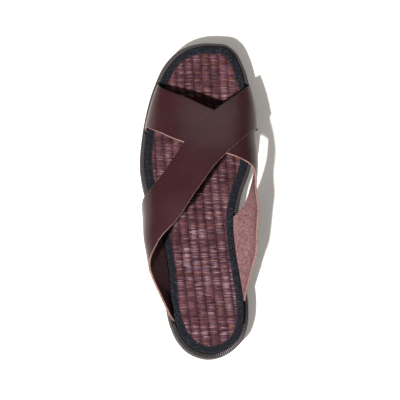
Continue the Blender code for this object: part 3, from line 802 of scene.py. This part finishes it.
def make_strap(name, edges, lift, straps, finishes, end):
    """A strap: the foot's form between two edge curves, offset along its outward direction.

    Point = form(along, around) + normal * (lift + height), with a rounded section, and a straight
    foot below each end. Painted shade darkens the grain by end(around), and painted shade darkens
    the inside near the outer foot.
    """
    front, rear = column_curve(edges, 1), column_curve(edges, 2)
    rows = straps.rows
    around = strap_course(front, rear, rows)[:, None]
    share, push, height, face = strap_section(straps.columns, straps.thickness,
                                              straps.edge_softness)
    spread = np.linalg.norm(last_point(rear(around), around) - last_point(front(around), around),
                            axis=-1)
    side = share[None, :] + push[None, :] / np.maximum(spread, 20 * MM)
    along = front(around) * (1 - side) + rear(around) * side
    around = around + 0 * along
    out = lift(around) + height[None, :]
    points = last_point(along, around) + last_normal(along, around) * out[..., None]
    feet = []
    for tip in (0, -1):
        foot = points[tip].copy()
        foot[:, 2] = platform_z(foot[:, 1]) + 2 * GAP
        feet.append(foot[None])
    grid = np.concatenate([feet[0], points, feet[1]])
    count, columns = grid.shape[:2]
    quads = tube_faces(count, columns, False)
    caps = [np.arange(columns)[::-1], (count - 1) * columns + np.arange(columns)]
    piece = mesh_piece(name, grid, quads, caps)
    from_edge = np.minimum(side, 1 - side) * spread
    from_edge = np.concatenate([from_edge[:1], from_edge, from_edge[-1:]])
    paint_points(piece, "from_edge", np.maximum(from_edge, 0.0))
    ends = np.concatenate([around[:1], around, around[-1:]])
    # Painted shade on the grain, read as 'end'
    paint_points(piece, "end", end(ends))
    # Painted shade on the inside, strongest at the outer end of each strap
    paint_points(piece, "rubbed", 0.70 * (1 - smooth_step((ends - 0.16) / 0.16)))
    following = np.roll(face, -1)
    kind = np.where((face == 2) & (following == 2), 2, np.where(face == 2, following, face))
    kinds = np.concatenate([np.tile(kind, count - 1), [2, 2]])
    for finish in finishes:
        piece.data.materials.append(finish)
    piece.data.polygons.foreach_set("material_index", kinds.astype(np.int32))
    return piece


def slot_mask(course):
    """1 at the stations of a ring course where a strap goes down beside the tape."""
    middle = inset_line(STRAP_INNER - 1.0 * MM)
    number = np.arange(len(OUTER_LINE))
    medial = (number >= HEEL_POINT) & (number <= TOE_POINT)
    inside = np.zeros(len(OUTER_LINE))
    for end, where in ((0, ~medial), (-1, medial)):
        for table in (np.array(OVER_STRAP), np.array(UNDER_STRAP)):
            low = table[end, 2] * LENGTH - SLOT_END_PLAY
            high = table[end, 1] * LENGTH + SLOT_END_PLAY
            inside[where & (middle[:, 1] > low) & (middle[:, 1] < high)] = 1
    return inside[np.round(course).astype(int) % len(OUTER_LINE)]


def make_rim(sole, straps, finish):
    """The rim: a rounded strip whose outside and top are cut into fine ribs.

    The ribs take depth * (1 - |cos(pi * run / pitch)|^1.5) away, in and down, most on the outside.
    """
    length = np.linalg.norm(np.roll(OUTER_LINE, -1, axis=0) - OUTER_LINE, axis=1).sum()
    ribs = int(round(length / sole.rib_pitch))
    points, inward, run, course = ring_course(ribs * STATIONS_PER_RIM_RIB)
    furrow = 1 - np.abs(np.cos(math.pi * run / (length / ribs))) ** 1.5
    y = points[:, 1]
    base, top = platform_z(y) + GAP, rim_z(y)
    slot_outer = STRAP_INNER - straps.thickness - SLOT_PLAY
    inner = np.where(slot_mask(course) > 0, slot_outer, WELT_WIDTH)
    turn = np.linspace(0, 0.5 * math.pi, ROUND_STEPS)
    insets = [RIM_FOOT, 0.0, 0.0]
    heights = [base, base + RIM_FOOT, 0.5 * (base + top)]
    weight = [0.0, 0.4, 1.0]
    for angle in turn:
        insets.append(WELT_ROUND * (1 - math.cos(angle)))
        heights.append(top - WELT_ROUND * (1 - math.sin(angle)))
        weight.append(1.0)
    insets += [WELT_ROUND + 0.6 * (inner - WELT_ROUND), inner - 0.15 * MM, inner, inner]
    heights += [top, top, top - 0.15 * MM, base]
    weight += [0.7, 0.25, 0.0, 0.0]
    weight = np.array(weight)
    insets, heights = profile_columns(insets, y), profile_columns(heights, y)
    cut = sole.rib_depth * furrow[:, None] * weight[None, :]
    outside = np.concatenate([[0, 0.6, 1.0], np.cos(turn), np.zeros(4)])
    upwards = np.concatenate([[0, 0, 0], np.sin(turn), np.ones(4)])
    insets, heights = insets + cut * outside, heights - cut * upwards
    piece = ring_piece("ribbed_rim", points, inward, insets, heights)
    paint_points(piece, "rib", 1 - furrow[:, None] * (weight[None, :] > 0.2))
    piece.data.materials.append(finish)
    return piece


def make_tape(mat, finish):
    """The tape over the mat's edge: up the side, round the fold and flat over the mat.

    Its inner edge is turned under, which leaves a low hem, and its top swells a little between
    fold and hem.
    """
    points, inward, run, course = ring_course(TAPE_STATIONS)
    y = points[:, 1]
    foot, under = platform_z(y) + GAP, mat_floor_z(y) + GAP
    top = under + TAPE_THICKNESS
    bend = np.linspace(0, 0.5 * math.pi, ROUND_STEPS)
    width, hem = TAPE_WIDTH, mat.hem_width
    swell = 0.12 * MM * np.sin(run / (11 * MM)) * np.sin(run / (29 * MM))
    beside_strap = slot_mask(course)
    reach = np.arange(-mat.fold_run, mat.fold_run + 1)
    free = 1 - np.clip(sum(np.roll(beside_strap, k) for k in reach), 0, 1)
    free = sum(np.roll(free, k) for k in reach) / len(reach)
    side = TAPE_OUTER - mat.fold_swell * free
    insets = [TAPE_OUTER, TAPE_OUTER - 0.6 * mat.fold_swell * free]
    heights = [foot, 0.5 * (foot + top)]
    fold = [0.0, 0.0]
    for angle in bend:
        insets.append(side + TAPE_BEND * (1 - math.cos(angle)))
        heights.append(top - TAPE_BEND * (1 - math.sin(angle)))
        fold.append(0.30 * math.sin(2 * angle))
    for share, rise in ((0.35, 0.20), (0.62, 0.16)):
        insets.append(TAPE_OUTER + share * width)
        heights.append(top + rise * MM + swell)
        fold.append(0.0)
    for back, rise, mark in ((hem + 0.25 * MM, 0.05, 0.0), (hem, -0.10, 0.0),
                             (0.75 * hem, 0.22, 0.1), (0.40 * hem, 0.26, 0.3),
                             (0.12 * hem, 0.10, 1.0), (0.0, -0.25, 1.0)):
        insets.append(TAPE_OUTER + width - back)
        heights.append(top + rise * MM)
        fold.append(mark)
    insets += [TAPE_OUTER + width] + [TAPE_OUTER + TAPE_THICKNESS] * 2
    heights += [under, under, foot]
    fold += [1.0, 0.0, 0.0]
    insets, heights = profile_columns(insets, y), profile_columns(heights, y)
    piece = ring_piece("edge_tape", points, inward, insets, heights)
    unwrap_ring(piece, insets, heights, run)
    paint_points(piece, "fold", np.tile(fold, (len(y), 1)))
    piece.data.materials.append(finish)
    return piece


def rib_x(number, y):
    """Place across the sole of the furrow beside a numbered rib of the mat."""
    toewards = y / LENGTH
    pitch = RIB_PITCH_HEEL + (RIB_PITCH_TOE - RIB_PITCH_HEEL) * toewards
    lean_toe = math.tan(math.radians(RIB_SLANT_TOE))
    lean_heel = math.tan(math.radians(RIB_SLANT_HEEL))
    heelwards = 1 - toewards
    lean = LENGTH * (lean_toe * heelwards + 0.5 * (lean_heel - lean_toe) * heelwards ** 2)
    return number * pitch + lean - RIB_PITCH_TOE


def rib_count(y):
    """Number of the rib that lies on the inner side of the heel, where the mat is paler."""
    middle = 0.26 * BALL_WIDTH
    return (middle - rib_x(0, y)) / (rib_x(1, y) - rib_x(0, y))


def make_strands(mat, finish):
    """The rush strands that show: each one rises over a rib and dives into the furrow beside it.

    Every other row shows on every other rib. A strand's middle line is
    rib height * sin(pi * p)^0.7 over the mat's floor, and its section is an ellipse that narrows
    towards both furrows.
    """
    chance = np.random.default_rng(7)
    spacing = 0.5 * mat.strand_pitch
    lateral, medial = side_lines(WINDOW_EDGE)
    first = max(lateral[0, 1], medial[0, 1])
    last = min(lateral[-1, 1], medial[-1, 1])
    rows = np.arange(int((last - first) / spacing))
    numbers = np.arange(-10, 9)
    row, number = np.meshgrid(rows, numbers, indexing="ij")
    shown = (row + number) % 2 == 0
    row, number = row[shown], number[shown]
    y = first + (row + 0.5) * spacing + chance.normal(0, 0.10, row.shape) * spacing
    left = np.interp(y, lateral[:, 1], lateral[:, 0]) + 0.1 * MM
    right = np.interp(y, medial[:, 1], medial[:, 0]) - 0.1 * MM
    drift = chance.normal(0, 0.035, row.shape)
    start, end = rib_x(number + drift, y), rib_x(number + 1 + drift, y)
    low = np.clip((left - start) / (end - start), 0, 1)
    high = np.clip((right - start) / (end - start), 0, 1)
    keep = high - low > 0.12
    row, number, drift, y, low, high = (a[keep] for a in (row, number, drift, y, low, high))
    count = len(row)
    stations, corners = STRAND_STATIONS, STRAND_CORNERS
    t = 0.5 - 0.5 * np.cos(np.linspace(0, math.pi, stations))
    p = low[:, None] + (high - low)[:, None] * t[None, :]
    arch = np.sin(math.pi * np.clip(p, 0.002, 0.998)) ** 0.7
    pitch = rib_x(number + 1, y) - rib_x(number, y)
    to_end = np.minimum(p - low[:, None], high[:, None] - p) * pitch[:, None]
    cut = ((low > 0)[:, None] & (t[None, :] < 0.5)) | ((high < 1)[:, None] & (t[None, :] >= 0.5))
    blunt = np.where(cut, 0.45 + 0.55 * smooth_step(to_end / (0.8 * MM)), 1.0)
    thick = chance.uniform(0.86, 1.12, count)[:, None]
    half_width = 0.5 * mat.strand_pitch * (0.80 + 0.24 * arch) * blunt * thick
    half_height = mat.strand_height * (0.45 + 0.55 * arch) * blunt * thick
    lean = chance.normal(0, 0.10, count)[:, None] * MM
    x = rib_x((number + drift)[:, None] + p, y[:, None])
    middle_y = y[:, None] + lean * (p - 0.5) * 2
    middle_z = mat_floor_z(y)[:, None] + RIB_HEIGHT * (0.10 + 0.86 * arch) - 0.2 * half_height
    around = np.linspace(0, 2 * math.pi, corners, endpoint=False) + 0.5 * math.pi
    grid = np.stack([
        x[..., None] + 0 * around,
        middle_y[..., None] + half_width[..., None] * np.cos(around),
        middle_z[..., None] + half_height[..., None] * np.sin(around),
    ], axis=-1)
    quads = tube_faces(stations, corners, False)
    each = stations * corners
    offsets = (np.arange(count) * each)[:, None, None]
    quads = (quads[None] + offsets).reshape(-1, 4)
    cap = np.arange(corners)[::-1]
    caps = np.stack([cap, (stations - 1) * corners + cap[::-1]])[None] + offsets
    piece = mesh_piece("rush_strands", grid, quads, caps.reshape(-1, corners))
    line = row // 2
    line_dye = chance.beta(1.3, 1.6, len(rows) + 1)
    line_tone = chance.beta(0.9, 0.9, len(rows) + 1)
    toewards = y / LENGTH
    toe = smooth_step((toewards - 0.5) / 0.3)
    # A paler, less dyed patch of strands on the inner side of the heel
    pale_patch = np.exp(-((toewards - 0.20) / 0.13) ** 2 - ((number - rib_count(y)) / 1.6) ** 2)
    dye = (0.45 * line_dye[line] + 0.45 * chance.beta(1.2, 1.5, count)
           + 0.13 * toe - 0.10 * pale_patch)
    tone = (0.50 * line_tone[line] + 0.50 * chance.beta(1.0, 1.0, count)
            - 0.10 * toe + 0.20 * pale_patch)
    spots = np.linspace(0, 1, 24)
    rib_tone = chance.normal(0, 0.13, (len(numbers), len(spots)))
    for rib, course in zip(numbers, rib_tone):
        tone += (number == rib) * np.interp(toewards, spots, course)
    paint_points(piece, "dye", np.repeat(dye, each))
    paint_points(piece, "tone", np.repeat(tone, each))
    # Painted shade for the 'furrow' attribute: deep in the furrows and on the inner half of each
    # rib
    depth = (1 - arch)[..., None] + 0 * around
    side = smooth_step((p - 0.52) / 0.40)[..., None] + 0 * around
    paint_points(piece, "furrow", np.clip(0.8 * depth ** 1.5 + 0.85 * side, 0, 1))
    piece.data.materials.append(finish)
    return piece


# Settings


def size_setting(name, description, default, least=0.0):
    """A length in metres, from its default and least value in millimetres."""
    return FloatProperty(name=name, description=description, default=default * MM,
                         min=least * MM, subtype="DISTANCE", unit="LENGTH")


def power_setting(name, description, default):
    return FloatProperty(name=name, description=description, default=default, min=0.0)


class SoleSettings(bpy.types.PropertyGroup):
    rib_pitch: size_setting("Rib pitch", "From one rib of the rim to the next", 1.9, 0.5)
    rib_depth: size_setting("Rib depth", "Depth of the furrows between the rim's ribs", 0.52)


class MatSettings(bpy.types.PropertyGroup):
    strand_pitch: size_setting("Strand pitch", "From one strand to the next on one rib", 0.98, 0.8)
    strand_height: size_setting("Strand height", "Half the height of a strand", 0.52, 0.1)
    fold_swell: size_setting("Fold swell", "How far the tape's outer fold stands out", 0.5)
    fold_run: IntProperty(name="Fold run", default=8, min=1,
                          description="Stations over which the fold narrows beside a strap")
    hem_width: size_setting("Hem width", "Width of the tape's turned inner edge", 1.1, 0.2)


class StrapSettings(bpy.types.PropertyGroup):
    thickness: size_setting("Thickness", "Thickness of the leather", 1.8, 0.8)
    edge_softness: size_setting("Edge softness", "Rounding of the cut edges", 0.45, 0.1)
    rows: IntProperty(name="Rows", description="Divisions along a strap", default=180, min=40)
    columns: IntProperty(name="Columns", description="Divisions across a strap", default=36, min=8)


def tint(name, description, *screen):
    """A colour, from its screen values of 0 to 255."""
    return FloatVectorProperty(name=name, description=description, default=linear(*screen),
                               min=0.0, max=1.0, size=3, subtype="COLOR")


class LookSettings(bpy.types.PropertyGroup):
    leather: tint("Leather", "Grain side", 62, 34, 38)
    leather_deep: tint("Deep leather", "Darker dye and burnished edges", 48, 26, 29)
    leather_light: tint("Light leather", "Rubbed grain", 78, 48, 50)
    suede: tint("Suede", "Flesh side", 126, 92, 94)
    suede_deep: tint("Deep suede", "Flesh side, darker patches", 88, 57, 61)
    suede_light: tint("Light suede", "Brushed nap", 152, 117, 116)
    edge: tint("Cut edge", "Raw edge of the leather", 168, 132, 124)
    edge_deep: tint("Deep cut edge", "Stained raw edge", 112, 80, 76)
    rush_plum: tint("Plum rush", "Darkest dye", 40, 20, 30)
    rush_mauve: tint("Mauve rush", "Violet dye", 88, 55, 71)
    rush_rose: tint("Rose rush", "Pale dye", 118, 77, 83)
    rush_brick: tint("Brick rush", "Red brown dye", 108, 58, 52)
    rush_tan: tint("Tan rush", "Orange dye", 142, 96, 62)
    rush_pale: tint("Pale rush", "Bleached strands", 164, 138, 148)
    rush_shade: tint("Shaded rush", "Rush deep in the furrows", 40, 14, 18)
    tape: tint("Tape", "Edge tape", 29, 31, 38)
    tape_deep: tint("Deep tape", "Tape between threads", 15, 16, 20)
    tape_light: tint("Light tape", "Worn threads", 58, 63, 72)
    tape_edge: tint("Tape edge", "Rubbed folds of the tape", 92, 86, 90)
    rim: tint("Rim", "Ribs of the rim", 58, 49, 54)
    rim_deep: tint("Deep rim", "Furrows of the rim", 6, 4, 6)
    rim_warm: tint("Warm rim", "Tint of the browner stretches", 245, 205, 195)
    rim_light: tint("Light rim", "Rubbed ribs", 78, 70, 70)
    rim_painted_light: tint("Worn rim", "Ribs worn pale at the heel's inner corner", 146, 131, 139)
    foam: tint("Foam", "Side of the middle sole", 40, 33, 32)
    foam_deep: tint("Deep foam", "Pores and grooves", 20, 16, 16)
    tread: tint("Tread", "Walking sole", 32, 30, 30)
    dust: tint("Dust", "Dust and scuffs", 74, 66, 61)
    board: tint("Board", "Board under the mat", 82, 62, 52)


class StageSettings(bpy.types.PropertyGroup):
    key_power: power_setting("Key", "Power of the main light", 66.0)
    panel_power: power_setting("Panel", "Power of the wide soft light beyond the toe", 5.5)
    veil_power: power_setting("Veil", "Power of the wide soft light round the main one", 5.0)
    ambient: power_setting("Ambient", "Brightness of the surroundings", 0.035)
    glow: power_setting("Glow", "Light that the floor gives off itself", 0.20)
    distance: size_setting("Distance", "From the camera to the sandal", 1700.0, 200.0)


# Operators


class SANDAL_OT_dress_sole(bpy.types.Operator):
    """Gives outsole, middle sole and board their finishes"""
    bl_idname = "sandal.dress_sole"
    bl_label = "Dress sole"

    def execute(self, context):
        looks = context.scene.sandal_looks
        wear("outsole", tread_rubber(looks))
        wear("midsole", foam_rubber(looks))
        wear("insole", fibre_board(looks))
        return {"FINISHED"}


class SANDAL_OT_make_rim(bpy.types.Operator):
    """Makes the ribbed rim round the foot"""
    bl_idname = "sandal.make_rim"
    bl_label = "Make rim"

    def execute(self, context):
        scene = context.scene
        rim = make_rim(scene.sandal_sole, scene.sandal_straps, rim_rubber(scene.sandal_looks))
        settle(rim, "welt")
        return {"FINISHED"}


class SANDAL_OT_make_mat(bpy.types.Operator):
    """Covers the mat with its rush strands"""
    bl_idname = "sandal.make_mat"
    bl_label = "Make mat"

    def execute(self, context):
        scene = context.scene
        wear("tatami_mat", mat_ground(scene.sandal_looks))
        strands = make_strands(scene.sandal_mat, dyed_rush(scene.sandal_looks))
        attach(strands, "root")
        return {"FINISHED"}


class SANDAL_OT_make_tape(bpy.types.Operator):
    """Folds the tape over the edge of the mat"""
    bl_idname = "sandal.make_tape"
    bl_label = "Make tape"

    def execute(self, context):
        scene = context.scene
        settle(make_tape(scene.sandal_mat, woven_tape(scene.sandal_looks)), "binding")
        return {"FINISHED"}


class SANDAL_OT_make_straps(bpy.types.Operator):
    """Makes the two crossed straps"""
    bl_idname = "sandal.make_straps"
    bl_label = "Make straps"

    def execute(self, context):
        scene = context.scene
        straps, looks = scene.sandal_straps, scene.sandal_looks
        finishes = [grain_leather(looks), suede_side(looks), cut_edge(looks)]

        # Painted shade on the strap ends down the foot's sides: the under strap at both ends, the
        # over strap mostly at the outer end
        def under_painted_shade(around):
            return np.maximum(0.8 * (1 - smooth_step((around - 0.13) / 0.14)),
                              0.85 * smooth_step((around - 0.58) / 0.16))

        def over_painted_shade(around):
            return np.maximum(1 - smooth_step((around - 0.24) / 0.26),
                              0.5 * smooth_step((around - 0.60) / 0.2))

        def over_lift(around):
            return climb(around, straps.thickness + STRAP_AIR)

        under = make_strap("under_strap", UNDER_STRAP, np.zeros_like, straps, finishes, under_painted_shade)
        over = make_strap("over_strap", OVER_STRAP, over_lift, straps, finishes, over_painted_shade)
        settle(under, "upper")
        settle(over, "upper")
        return {"FINISHED"}


class SANDAL_OT_set_stage(bpy.types.Operator):
    """Sets floor, lights and camera"""
    bl_idname = "sandal.set_stage"
    bl_label = "Set stage"

    def execute(self, context):
        set_stage(context.scene)
        return {"FINISHED"}


class SANDAL_PT_panel(bpy.types.Panel):
    bl_idname = "SANDAL_PT_panel"
    bl_label = "Tatami sandal"
    bl_space_type = "VIEW_3D"
    bl_region_type = "UI"
    bl_category = "Sandal"

    def draw(self, context):
        scene = context.scene
        for group in (scene.sandal_sole, scene.sandal_mat, scene.sandal_straps,
                      scene.sandal_looks, scene.sandal_stage):
            box = self.layout.box()
            for name in group.__annotations__:
                box.prop(group, name)
        for operator in OPERATORS:
            self.layout.operator(operator.bl_idname)


def settle(piece, node):
    """Hangs a piece on the one body and hides the CAD node whose place it takes."""
    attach(piece, "root")
    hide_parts(node)


def area_light(scene, name, place, target, size, power, colour):
    """A round soft light that faces the target."""
    light = bpy.data.lights.new(name, "AREA")
    light.shape = "DISK"
    light.size = size
    light.energy = power
    light.color = colour
    lamp = bpy.data.objects.new(name, light)
    lamp.location = place
    lamp.rotation_euler = (Vector(target) - Vector(place)).to_track_quat("-Z", "Y").to_euler()
    scene.collection.objects.link(lamp)


def set_stage(scene):
    """A pale floor that glows a little, the lights, and the camera.

    A small key light stands over the heel's outer side, with a wide weak veil round it, and a
    soft panel beyond the toe. The camera leans 8 degrees to the heel and 3 degrees to the outer
    side off straight above.
    """
    stage, reach = scene.sandal_stage, FLOOR_REACH
    mesh = bpy.data.meshes.new("floor")
    corners = [(-reach, -reach, 0), (reach, -reach, 0), (reach, reach, 0), (-reach, reach, 0)]
    mesh.from_pydata(corners, [], [(0, 1, 2, 3)])
    floor = bpy.data.objects.new("floor", mesh)
    paper = Finish("paper", gloss=0.1)
    tooth = paper.noise(400, 2, 0.5)
    paper.colour(tooth, (0.93, 0.89, 0.83), (0.96, 0.92, 0.86))
    paper.shader.inputs["Emission Color"].default_value = (1.0, 0.95, 0.90, 1.0)
    paper.shader.inputs["Emission Strength"].default_value = stage.glow
    mesh.materials.append(paper.done(0.9 + tooth * 0.05))
    scene.collection.objects.link(floor)

    low, high = (np.array(corner) for corner in CAD_BOX)
    middle = 0.5 * (low + high)
    key = np.array(Vector(KEY_WAY).normalized() * 2.0)
    for name, away, size, power, colour in (
            ("key", key, 0.09, stage.key_power, WARM_WHITE),
            ("veil", 0.9 * key, 1.3, stage.veil_power, WHITE),
            ("panel", np.array([0.22, 1.62, 0.56]), 1.2, stage.panel_power, WHITE)):
        area_light(scene, name, middle + away, middle, size, power, colour)
    world = bpy.data.worlds.new("surroundings")
    world.use_nodes = True
    background = world.node_tree.nodes["Background"]
    background.inputs["Color"].default_value = (*WARM_WHITE, 1.0)
    background.inputs["Strength"].default_value = stage.ambient
    scene.world = world
    scene.view_settings.view_transform = "Standard"

    camera = bpy.data.cameras.new("camera")
    camera.sensor_width = 36.0
    camera.lens = CAMERA_LENS
    camera.clip_end = 20.0
    eye = bpy.data.objects.new("camera", camera)
    across, back = (math.tan(math.radians(angle)) for angle in CAMERA_LEAN)
    lean = Vector((-across, -back, 1.0)).normalized()
    eye.location = Vector(CAMERA_TARGET) + lean * stage.distance
    eye.rotation_mode = "QUATERNION"
    side = Vector((0.0, 1.0, 0.0)).cross(lean).normalized()
    turn = Matrix((side, lean.cross(side), lean)).transposed()
    eye.rotation_quaternion = turn.to_quaternion()
    scene.collection.objects.link(eye)
    scene.camera = eye


GROUPS = (
    ("sandal_sole", SoleSettings),
    ("sandal_mat", MatSettings),
    ("sandal_straps", StrapSettings),
    ("sandal_looks", LookSettings),
    ("sandal_stage", StageSettings),
)
OPERATORS = (
    SANDAL_OT_dress_sole,
    SANDAL_OT_make_rim,
    SANDAL_OT_make_mat,
    SANDAL_OT_make_tape,
    SANDAL_OT_make_straps,
    SANDAL_OT_set_stage,
)


def register():
    for name, group in GROUPS:
        bpy.utils.register_class(group)
        setattr(bpy.types.Scene, name, PointerProperty(type=group))
    for operator in OPERATORS:
        bpy.utils.register_class(operator)
    bpy.utils.register_class(SANDAL_PT_panel)


def unregister():
    bpy.utils.unregister_class(SANDAL_PT_panel)
    for operator in reversed(OPERATORS):
        bpy.utils.unregister_class(operator)
    for name, group in reversed(GROUPS):
        delattr(bpy.types.Scene, name)
        bpy.utils.unregister_class(group)


def main():
    register()
    bpy.ops.sandal.dress_sole()
    bpy.ops.sandal.make_rim()
    bpy.ops.sandal.make_mat()
    bpy.ops.sandal.make_tape()
    bpy.ops.sandal.make_straps()
    bpy.ops.sandal.set_stage()


if __name__ == "__main__":
    main()
